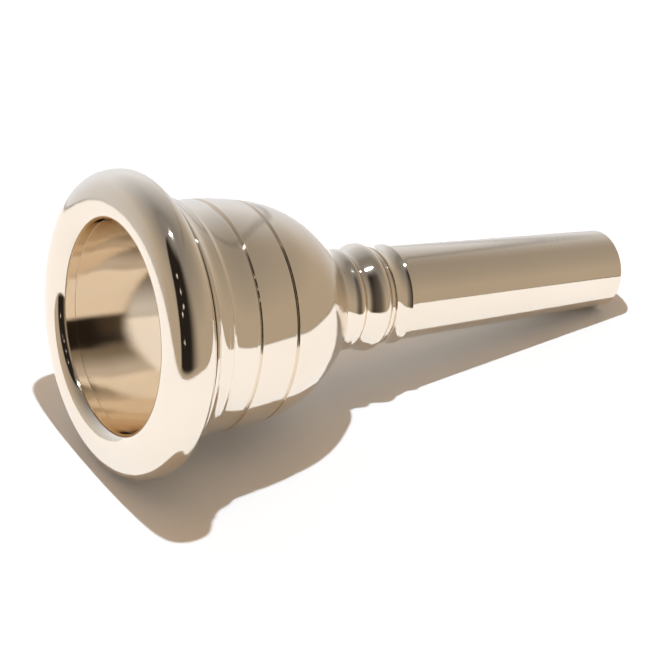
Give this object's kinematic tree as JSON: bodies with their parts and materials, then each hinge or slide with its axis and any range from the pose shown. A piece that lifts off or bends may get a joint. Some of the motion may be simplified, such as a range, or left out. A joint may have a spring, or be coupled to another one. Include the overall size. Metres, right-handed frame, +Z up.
{
  "type": "tuba mouthpiece",
  "caption": "Silver-plated brass mouthpiece lying on its side: a rounded screw-on rim, a deep cup with fine turned grooves and a tapered shank screwed into the cup.",
  "frame": {"origin": "centre of the bounding box in plan, on the surface the mouthpiece lies on", "axes": "+X from the rim towards the tip of the shank, +Z up; the mouthpiece's own axis lies in the XZ plane and drops 10.46 degrees towards +X, because the wide rim and the slim tip both rest on the surface"},
  "size_m": [0.101, 0.048, 0.0472],
  "materials": {
    "silver_plate": "bright silver plate over turned brass, mirror polished",
    "rubber": "matt black nitrile"
  },
  "bodies": {
    "cup": {"cup": "silver_plate"},
    "rim_seal": {"rim_o_ring": "rubber"},
    "rim": {"rim": "silver_plate"},
    "shank_seal": {"shank_o_ring": "rubber"},
    "shank": {"shank": "silver_plate"}
  },
  "joints": [
    {"name": "rim_travel", "type": "slide", "parent": "cup", "child": "rim_seal", "axis": [-0.9834, 0, 0.1815], "range_m": [0, 0.005]},
    {"name": "rim_turn", "type": "hinge", "parent": "rim_seal", "child": "rim", "pos_m": [-0.04407, 0, 0.02379], "axis": [-0.9834, 0, 0.1815], "range_deg": [0, 1480]},
    {"name": "shank_travel", "type": "slide", "parent": "cup", "child": "shank_seal", "axis": [0.9834, 0, -0.1815], "range_m": [0, 0.0075]},
    {"name": "shank_turn", "type": "hinge", "parent": "shank_seal", "child": "shank", "pos_m": [0.01198, 0, 0.01344], "axis": [0.9834, 0, -0.1815], "range_deg": [0, 2200]}
  ],
  "couplings": [
    {"joint": "rim_turn", "follows": "rim_travel", "rad_per_m": 5026.5},
    {"joint": "shank_turn", "follows": "shank_travel", "rad_per_m": 5026.5}
  ]
}
